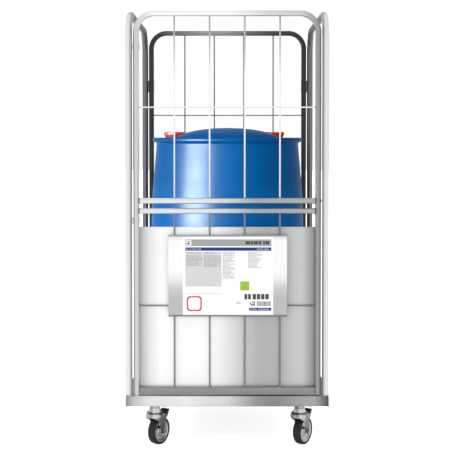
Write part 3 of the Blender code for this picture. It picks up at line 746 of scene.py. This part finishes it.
def build_bolt():
    low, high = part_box("gate_bolt")
    radius = 0.005
    barrel_low, barrel_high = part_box("bolt_barrel")
    y, z = (barrel_low.y + barrel_high.y) / 2, (barrel_low.z + barrel_high.z) / 2
    shape = bmesh.new()
    sweep(shape, [(mix(low.x, high.x, i / 4), y, z) for i in range(5)], radius, 24, 0.3)
    knob_x = low.x + 0.010
    stem = [(0.0, 0.0), (0.0028, 0.0), (0.0028, 0.0150), (0.0070, 0.0200), (0.0070, 0.0270), (0.0, 0.0280)]
    place = Matrix.Translation((knob_x, y, z)) @ Matrix.Rotation(-math.pi / 2, 4, "X")
    turned(shape, rounded(stem, 0.0025, 5), 28, place)
    finish_piece("gate_bolt_fine", shape, "castor", "gate_bolt", ["gate_bolt"])


def build_base():
    """The folded base channel, mitred at the corners, with its gussets."""
    low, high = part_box("base_frame")
    sheet, flange, bend = 0.003, 0.030, 0.005
    section = [(0.0, 0.0), (flange, 0.0), (flange, sheet), (sheet, sheet)]
    height = high.z - low.z
    section += [(sheet, height - sheet), (flange, height - sheet), (flange, height), (0.0, height)]
    outline = []
    for i, point in enumerate(section):
        is_bend = i in (0, 7)
        before, after = section[i - 1], section[(i + 1) % len(section)]
        corner = rounded([before, point, after], bend if is_bend else 0.0008, 5 if is_bend else 2)[1:-1]
        outline += corner
    shape = bmesh.new()
    corners = []
    for sx, sy in ((-1, -1), (1, -1), (1, 1), (-1, 1)):
        x, y = end_of(low.x, high.x, sx), end_of(low.y, high.y, sy)
        corners.append([shape.verts.new((x - sx * u, y - sy * u, low.z + v)) for u, v in outline])
    for first, second in zip(corners, [*corners[1:], corners[0]]):
        bridge(shape, first, second)
    lap = flange - 0.004
    gusset = [(lap, lap), (0.170, lap), (0.170, 0.115), (0.145, 0.140), (lap, 0.140)]
    gusset = rounded(gusset, 0.006, 4, closed=True)
    for sx in (-1, 1):
        for sy in (-1, 1):
            x, y = end_of(low.x, high.x, sx), end_of(low.y, high.y, sy)
            points = [(x - sx * u, y - sy * v) for u, v in gusset]
            extruded(shape, points, low.z + 0.0002, low.z + sheet - 0.0002, lambda u, v, w: (u, v, w))
            for k in range(9):
                t = k / 8 * flange
                nugget(shape, (x - sx * t, y - sy * t, low.z + 0.0002), (0.0028, 0.0028, 0.0012), 1)
    finish_piece("base_frame_fine", shape, ["base", "weld"], "cage", ["base_frame"], 30.0)


def build_deck():
    low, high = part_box("deck_plate")
    shape = bmesh.new()
    slab(shape, low, high)
    soften(shape, 0.0008, 2)
    for x in (low.x + 0.020, -0.150, 0.0, 0.150, high.x - 0.020):
        for y in (low.y + 0.020, high.y - 0.020):
            hex_head(shape, (x, y, high.z - 0.0004), (0, 0, 1), 0.0045, 0.0022, 1)
    finish_piece("deck_plate_fine", shape, ["deck", "fixing"], "cage", ["deck_plate"], 30.0)


def build_tie(node):
    low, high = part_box(node)
    shape = bmesh.new()
    slab(shape, low, high)
    soften(shape, 0.0010, 2)
    for t in (0.22, 0.78):
        centre = (mix(low.x, high.x, t), high.y, (low.z + high.z) / 2)
        hex_head(shape, centre, (0, 1, 0), 0.0060, 0.0050)
    finish_piece(node + "_fine", shape, "fixing", "cage", [node], 30.0)


# Castors


def castor_place(name):
    low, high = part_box(f"{name}_king_bolt")
    centre = Vector(((low.x + high.x) / 2, (low.y + high.y) / 2, 0.0))
    return Matrix.Translation(centre) @ Matrix.Rotation(CASTOR_TURN, 4, "Z")


def moved(shape, place):
    bmesh.ops.transform(shape, matrix=place, verts=shape.verts)
    return shape


def axle_place(radius):
    return Matrix.Translation((0.0, TRAIL, radius)) @ Matrix.Rotation(math.pi / 2, 4, "Y")


def build_castor_head(name):
    """Mounting plate with its four bolts, neck and the six-sided swivel housing."""
    low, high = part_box(f"{name}_top_plate")
    shape = bmesh.new()
    place = castor_place(name)
    centre = place.translation
    plate_low = high.z - 0.004
    corners = [(low.x, low.y), (high.x, low.y), (high.x, high.y), (low.x, high.y)]
    extruded(shape, rounded(corners, 0.008, 5, closed=True), plate_low, high.z, lambda u, v, w: (u, v, w))
    soften(shape, 0.0006, 2)
    for sx in (-1, 1):
        for sy in (-1, 1):
            bolt = (centre.x + sx * 0.038, centre.y + sy * 0.031, plate_low)
            hex_head(shape, bolt, (0, 0, -1), 0.0062, 0.0062)
    housing = bmesh.new()
    six_sided = [(0.0, low.z), (0.0238, low.z), (0.0245, low.z + 0.0012), (0.0240, low.z + 0.0080)]
    six_sided += [(0.0190, 0.1420), (0.0, 0.1420)]
    turned(housing, six_sided, 6)
    soften(housing, 0.0016, 3)
    neck = [(0.0, 0.1400), (0.0172, 0.1400), (0.0175, 0.1440), (0.0150, 0.1470)]
    neck += [(0.0150, 0.1500), (0.0175, 0.1530), (0.0175, plate_low), (0.0, plate_low)]
    turned(housing, rounded(neck, 0.0015, 4), 48)
    moved(housing, place)
    merge(shape, housing)
    finish_piece(f"{name}_head_fine", shape, "castor", "cage", [f"{name}_top_plate"], 30.0)


def leg_outline(has_brake):
    turns = [math.radians(degrees) for degrees in range(185, 356, 10)]
    points = [(TRAIL + 0.011 * math.cos(a), WHEEL_RADIUS + 0.011 * math.sin(a)) for a in turns]
    points += [(0.036, 0.088), (0.044, 0.098), (0.044, 0.1075)] if has_brake else [(0.034, 0.090)]
    points += [(0.029, 0.1110), (-0.022, 0.1110), (-0.026, 0.1000)]
    points += [(-0.012, 0.0955), (0.000, 0.0870), (0.008, 0.0720)]
    return points


def build_fork(name):
    has_brake = name.startswith("front")
    shape = bmesh.new()
    inner, thick = 0.0185, 0.003
    outline = rounded(leg_outline(has_brake), 0.006, 4, closed=True)
    for start in (-inner - thick, inner):
        extruded(shape, outline, start, start + thick, lambda u, v, w: (w, u, v))
    soften(shape, 0.0007, 2, 50.0)
    crown = [(0.0068, 0.1212), (0.0250, 0.1212), (0.0310, 0.1180), (0.0330, 0.1130), (0.0330, 0.1045)]
    crown += [(0.0322, 0.1040), (0.0300, 0.1040), (0.0298, 0.1100), (0.0270, 0.1135), (0.0130, 0.1150)]
    crown += [(0.0125, 0.1042), (0.0118, 0.1040), (0.0068, 0.1100)]
    turned_ring(shape, rounded(crown, 0.0016, 3), 64)
    dust_lip = [(0.0200, 0.1208), (0.0285, 0.1208), (0.0292, 0.1214), (0.0285, 0.1220), (0.0200, 0.1216)]
    turned_ring(shape, dust_lip, 64)
    moved(shape, castor_place(name))
    finish_piece(f"{name}_fork_fine", shape, "castor", f"{name}_swivel", [f"{name}_fork"], 40.0)


def build_wheel(name):
    low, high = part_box(f"{name}_tyre")
    radius = (high.z - low.z) / 2
    place = castor_place(name) @ axle_place(radius)
    rim = [(0.0054, 0.0160), (0.0095, 0.0160), (0.0108, 0.0150), (0.0125, 0.0080), (0.0180, 0.0048)]
    rim += [(0.0280, 0.0038), (0.0330, 0.0060), (0.0362, 0.0125), (0.0385, 0.0138), (0.0404, 0.0135)]
    rim += [(r, -h) for r, h in reversed(rim)]
    shape = bmesh.new()
    turned_ring(shape, rounded(rim, 0.0016, 3), 80, place)
    for side in (-1, 1):
        for i in range(6):
            angle = 2 * math.pi * (i + 0.5) / 6
            centre = place @ Vector((0.0235 * math.cos(angle), 0.0235 * math.sin(angle), side * 0.0044))
            nugget(shape, centre, (0.0022, 0.0022, 0.0022))
    finish_piece(f"{name}_rim_fine", shape, "rim", f"{name}_wheel", [f"{name}_rim"], 40.0)
    tyre = [(0.0408, 0.0135), (0.0422, 0.0154), (0.0450, 0.0160), (0.0478, 0.0142)]
    tyre += [(0.0490, 0.0120), (0.0497, 0.0080), (radius, 0.0020)]
    tyre += [(r, -h) for r, h in reversed(tyre)]
    shape = bmesh.new()
    turned_ring(shape, rounded(tyre, 0.0016, 3), 96, place)
    finish_piece(f"{name}_tyre_fine", shape, "rubber", f"{name}_wheel", [f"{name}_tyre"], 50.0)


def build_axle(name):
    place = castor_place(name) @ axle_place(WHEEL_RADIUS)
    face = 0.0218
    shape = bmesh.new()
    outer, foot = face + 0.0040, -face - 0.0050
    turned(shape, rounded([(0.0, outer), (0.0050, outer), (0.0050, foot), (0.0, foot)], 0.0008, 2), 32, place)
    for side, height in ((1, 0.0052), (-1, 0.0044)):
        centre = place @ Vector((0.0, 0.0, side * face))
        way = (place.to_3x3() @ Vector((0.0, 0.0, side))).normalized()
        hex_head(shape, centre, way, 0.0068, height)
    finish_piece(f"{name}_axle_fine", shape, "castor", f"{name}_swivel", [f"{name}_axle_bolt"], 30.0)


def build_brake(name):
    outline = [(0.0345, 0.1015), (0.0420, 0.1012), (0.0470, 0.0970), (0.0560, 0.0925), (0.0610, 0.1010)]
    outline += [(0.0700, 0.1150), (0.0680, 0.1205), (0.0640, 0.1215), (0.0520, 0.1120), (0.0430, 0.1095), (0.0345, 0.1095)]
    shape = bmesh.new()
    extruded(shape, rounded(outline, 0.003, 4, closed=True), -0.014, 0.014, lambda u, v, w: (w, u, v))
    soften(shape, 0.0010, 2, 50.0)
    for i in range(4):
        t = (i + 0.5) / 4
        a = Vector((0.0, mix(0.0530, 0.0625, t), mix(0.1135, 0.1212, t)))
        sweep(shape, [a + Vector((-0.011, 0, 0)), a, a + Vector((0.011, 0, 0))], 0.0008, 8, 0.4)
    moved(shape, castor_place(name))
    finish_piece(f"{name}_lever_fine", shape, "lever", f"{name}_brake", [f"{name}_brake_lever"], 40.0)


# Drum


def drum_profile(foot, head, ring_top):
    return [
        (0.2535, head), (0.2570, head + 0.0040), (0.2620, ring_top - 0.0012), (0.2680, ring_top),
        (0.2840, ring_top), (0.2880, ring_top - 0.0040), (0.2880, head + 0.0005), (0.2838, head - 0.0036),
        (0.2730, head - 0.0080), (0.2735, head - 0.0180), (0.2772, head - 0.0620), (0.2816, head - 0.1120),
        (0.2858, head - 0.1620), (0.2894, head - 0.2060), (0.2916, head - 0.2460), (0.2925, head - 0.2980),
        (0.2925, foot + 0.1200), (0.2905, foot + 0.0980), (0.2840, foot + 0.0700), (0.2790, foot + 0.0480),
        (0.2772, foot + 0.0340), (0.2850, foot + 0.0260), (0.2850, foot + 0.0050), (0.2800, foot),
        (0.2600, foot), (0.2520, foot + 0.0080), (0.0, foot + 0.0080),
    ]


def build_drum():
    low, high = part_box("drum_shell")
    centre = Vector(((low.x + high.x) / 2, (low.y + high.y) / 2, 0.0))
    foot, head, ring_top = low.z, 1.098, 1.110
    dome = (0.200, 0.150, 0.050)
    dome_y = -0.085
    bungs = []
    for side in ("left", "right"):
        a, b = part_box(f"drum_bung_{side}")
        bungs.append(Vector(((a.x + b.x) / 2, (a.y + b.y) / 2, 0.0)) - centre)

    def head_height(x, y):
        """The dome over the flat head, blended with a small fillet."""
        q = 1.0 - (x / dome[0]) ** 2 - ((y - dome_y) / dome[1]) ** 2
        rise = dome[2] * math.sqrt(q) if q > 0 else 0.0
        pad = 0.0
        for bung in bungs:
            away = math.hypot(x - bung.x, y - bung.y)
            pad = max(pad, 0.0078 * min(max((0.0385 - away) / 0.0030, 0.0), 1.0))
        return head - 0.0008 + max(rise, pad, 0.0008)

    steps, rings = 160, 72
    shape = bmesh.new()
    grid = [[shape.verts.new((centre.x, centre.y, head_height(0.0, 0.0)))]]
    for k in range(1, rings + 1):
        radius = 0.2535 * k / rings
        row = []
        for i in range(steps):
            angle = 2 * math.pi * i / steps
            x, y = radius * math.cos(angle), radius * math.sin(angle)
            row.append(shape.verts.new((centre.x + x, centre.y + y, head_height(x, y))))
        grid.append(row)
    for i in range(steps):
        shape.faces.new((grid[0][0], grid[1][i], grid[1][(i + 1) % steps]))
    for first, second in zip(grid[1:], grid[2:]):
        bridge(shape, first, second)
    profile = rounded(drum_profile(foot, head, ring_top), 0.0035, 3)
    place = Matrix.Translation(centre)
    body = turned(shape, profile[1:], steps, place)
    bridge(shape, grid[-1], body[0])
    bmesh.ops.remove_doubles(shape, verts=shape.verts, dist=0.00001)
    obj = finish_piece("drum_shell_fine", shape, "drum", "drum", ["drum_shell"], 40.0)
    cutter_shape = bmesh.new()
    for bung in bungs:
        where = Matrix.Translation(centre + bung)
        over, under = head + 0.02, head - 0.10
        turned(cutter_shape, [(0.0, over), (0.0240, over), (0.0240, under), (0.0, under)], 48, where)
    bmesh.ops.recalc_face_normals(cutter_shape, faces=cutter_shape.faces)
    cutter_mesh = bpy.data.meshes.new("bore_cutter")
    cutter_shape.to_mesh(cutter_mesh)
    cutter_shape.free()
    cutter = bpy.data.objects.new("bore_cutter", cutter_mesh)
    bpy.context.scene.collection.objects.link(cutter)
    cut = obj.modifiers.new("bores", "BOOLEAN")
    cut.operation = "DIFFERENCE"
    cut.solver = "EXACT"
    cut.object = cutter
    bpy.context.view_layer.update()
    evaluated = obj.evaluated_get(bpy.context.evaluated_depsgraph_get())
    mesh = bpy.data.meshes.new_from_object(evaluated)
    obj.modifiers.clear()
    obj.data = mesh
    mesh.shade_smooth()
    mesh.set_sharp_from_angle(angle=math.radians(40))
    bpy.data.objects.remove(cutter, do_unlink=True)


def build_bung(side):
    low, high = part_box(f"drum_bung_{side}")
    centre = Matrix.Translation(((low.x + high.x) / 2, (low.y + high.y) / 2, 0.0))
    top = high.z
    cap = [
        (0.0, top - 0.0050), (0.0290, top - 0.0050), (0.0318, top - 0.0006), (0.0335, top), (0.0405, top),
        (0.0425, top - 0.0025), (0.0424, top - 0.0070), (0.0405, top - 0.0120), (0.0368, top - 0.0205),
        (0.0360, top - 0.0224), (0.0230, top - 0.0224), (0.0230, low.z + 0.0010), (0.0222, low.z), (0.0, low.z),
    ]

    def grip(radius, height, angle):
        is_rim = radius > 0.0395 and top - 0.0115 < height < top - 0.0010
        return radius * (1.0 - 0.018 * (math.cos(angle * 24) > 0.35) * is_rim)

    shape = bmesh.new()
    turned(shape, rounded(cap, 0.0012, 3), 144, centre, 0, grip)
    for turn in (0.0, math.pi / 2):
        rib = bmesh.new()
        slab(rib, (-0.0280, -0.0030, top - 0.0060), (0.0280, 0.0030, top - 0.0012))
        soften(rib, 0.0010, 2)
        moved(rib, centre @ Matrix.Rotation(turn + 0.4, 4, "Z"))
        merge(shape, rib)
    finish_piece(f"drum_bung_{side}_fine", shape, "bung", f"bung_{side}", [f"drum_bung_{side}"], 40.0)


def dress_cad_nodes():
    """Small CAD pieces that keep their own shape."""
    looks = {
        "gate_pivot_pin": "rail",
        "hinge_eye_lower": "rail",
        "hinge_eye_upper": "rail",
        "bolt_keeper": "rail",
        "bolt_barrel": "rail",
        "deck_rail_left": "wire_painted_shade",
        "deck_rail_right": "wire_painted_shade",
        "drum_gasket_left": "gasket",
        "drum_gasket_right": "gasket",
        "front_left_brake_pin": "castor",
        "front_right_brake_pin": "castor",
    }
    looks.update({f"{name}_king_bolt": "castor" for name in CASTORS})
    for node, finish in looks.items():
        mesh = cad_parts[node].data
        mesh.materials.clear()
        mesh.materials.append(MATERIALS[finish])


# Stage


def area_light(name, place, aim, size, power, diffuse=True, glossy=True):
    light = bpy.data.lights.new(name, "AREA")
    light.shape = "RECTANGLE"
    light.size, light.size_y = size
    light.energy = power
    obj = bpy.data.objects.new(name, light)
    obj.location = place
    obj.rotation_euler = (Vector(aim) - Vector(place)).to_track_quat("-Z", "Y").to_euler()
    obj.visible_diffuse = diffuse
    obj.visible_glossy = glossy
    bpy.context.scene.collection.objects.link(obj)
    return obj


def build_stage():
    floor_shape = bmesh.new()
    bmesh.ops.create_grid(floor_shape, x_segments=8, y_segments=8, size=30.0)
    mesh = bpy.data.meshes.new("floor")
    floor_shape.to_mesh(mesh)
    floor_shape.free()
    floor = bpy.data.objects.new("floor", mesh)
    bpy.context.scene.collection.objects.link(floor)
    white = (1.0, 1.0, 1.0, 1.0)
    made, tree, shader = new_shader("floor_white", Roughness=0.9, Specular_IOR_Level=0.0, Emission_Color=white)
    tone = ramp(tree, noise(tree, 3.0), [(0.3, grey(0.98)), (0.7, grey(1.0))])
    path = tree.nodes.new("ShaderNodeLightPath")
    glow = remap(tree, path.outputs["Is Camera Ray"], 0.0, 1.0, 0.0, FLOOR_GLOW)
    tree.links.new(glow, shader.inputs["Emission Strength"])
    tree.links.new(tone, shader.inputs["Base Color"])
    mesh.materials.append(made)

    world = bpy.data.worlds.new("studio")
    bpy.context.scene.world = world
    world.use_nodes = True
    tree = world.node_tree
    background = tree.nodes["Background"]
    coordinate = tree.nodes.new("ShaderNodeTexCoord")
    split = tree.nodes.new("ShaderNodeSeparateXYZ")
    tree.links.new(coordinate.outputs["Generated"], split.inputs["Vector"])
    sideways = remap(tree, split.outputs["X"], -1.0, 1.0, 0.0, 1.0)
    shade = ramp(tree, sideways, [(0.0, grey(1.0)), (0.5, grey(0.95)), (1.0, grey(0.85))])
    path = tree.nodes.new("ShaderNodeLightPath")
    seen = tree.nodes.new("ShaderNodeMix")
    seen.data_type = "RGBA"
    tree.links.new(path.outputs["Is Glossy Ray"], seen.inputs["Factor"])
    seen.inputs["A"].default_value = (1.03, 1.03, 1.03, 1.0)
    tree.links.new(shade, seen.inputs["B"])
    tree.links.new(seen.outputs["Result"], background.inputs["Color"])

    area_light("key", (-3.4, -3.1, 2.3), (0, 0, 0.7), (0.35, 0.35), 25, glossy=False)
    strip = area_light("drum_strip", (-2.45, -2.32, 0.95), (0, 0, 0.95), (2.0, 1.6), 7600, diffuse=False)
    fill = area_light("drum_fill", (-0.9, -3.6, 1.0), (0, 0, 0.95), (1.6, 1.6), 34, glossy=False)
    lit = bpy.data.collections.new("drum_light_receivers")
    for name in ("drum_shell_fine", "drum_bung_left_fine", "drum_bung_right_fine"):
        lit.objects.link(bpy.data.objects[name])
    for light in (strip, fill):
        light.light_linking.receiver_collection = lit
        light.light_linking.blocker_collection = lit


def build_camera():
    camera = bpy.data.cameras.new("camera")
    camera.sensor_width = 36.0
    camera.lens = LENS
    camera.shift_x = SHIFT_X
    camera.shift_y = SHIFT_Y
    obj = bpy.data.objects.new("camera", camera)
    obj.location = (CAMERA_X, CAD_BOX[0].y - CAMERA_DISTANCE, CAMERA_HEIGHT)
    obj.rotation_euler = (math.radians(90.0 - CAMERA_TILT), 0.0, 0.0)
    bpy.context.scene.collection.objects.link(obj)
    bpy.context.scene.camera = obj
    bpy.context.scene.view_settings.view_transform = "Standard"


build_post_hoop("gate_hoop", "gate_tube", "gate")
build_post_hoop("back_hoop", "back_tube_painted_shade", "cage")
build_side_hoop("side_hoop_left")
build_side_hoop("side_hoop_right")
build_rail("gate_upper_rail")
build_rail("gate_lower_rail")
build_sill("gate_bottom_rail", "gate")
build_sill("back_bottom_rail", "cage")
build_wires("gate_upper_wires", "upper_wire_painted_light", "gate", WIRE_X, GATE_UPPER_CROSS)
build_wires("gate_lower_wires", "wire_painted_shade", "gate", WIRE_X, GATE_LOWER_CROSS)
build_wires("back_wires", "wire_painted_shade", "cage", [x + BACK_WIRE_SHIFT for x in WIRE_X], BACK_CROSS)
build_panel()
build_label_plate()
build_label()
build_bolt()
build_base()
build_deck()
build_tie("back_tie_left")
build_tie("back_tie_right")
for castor in CASTORS:
    build_castor_head(castor)
    build_fork(castor)
    build_wheel(castor)
    build_axle(castor)
    if castor.startswith("front"):
        build_brake(castor)
build_drum()
build_bung("left")
build_bung("right")
dress_cad_nodes()
build_stage()
build_camera()
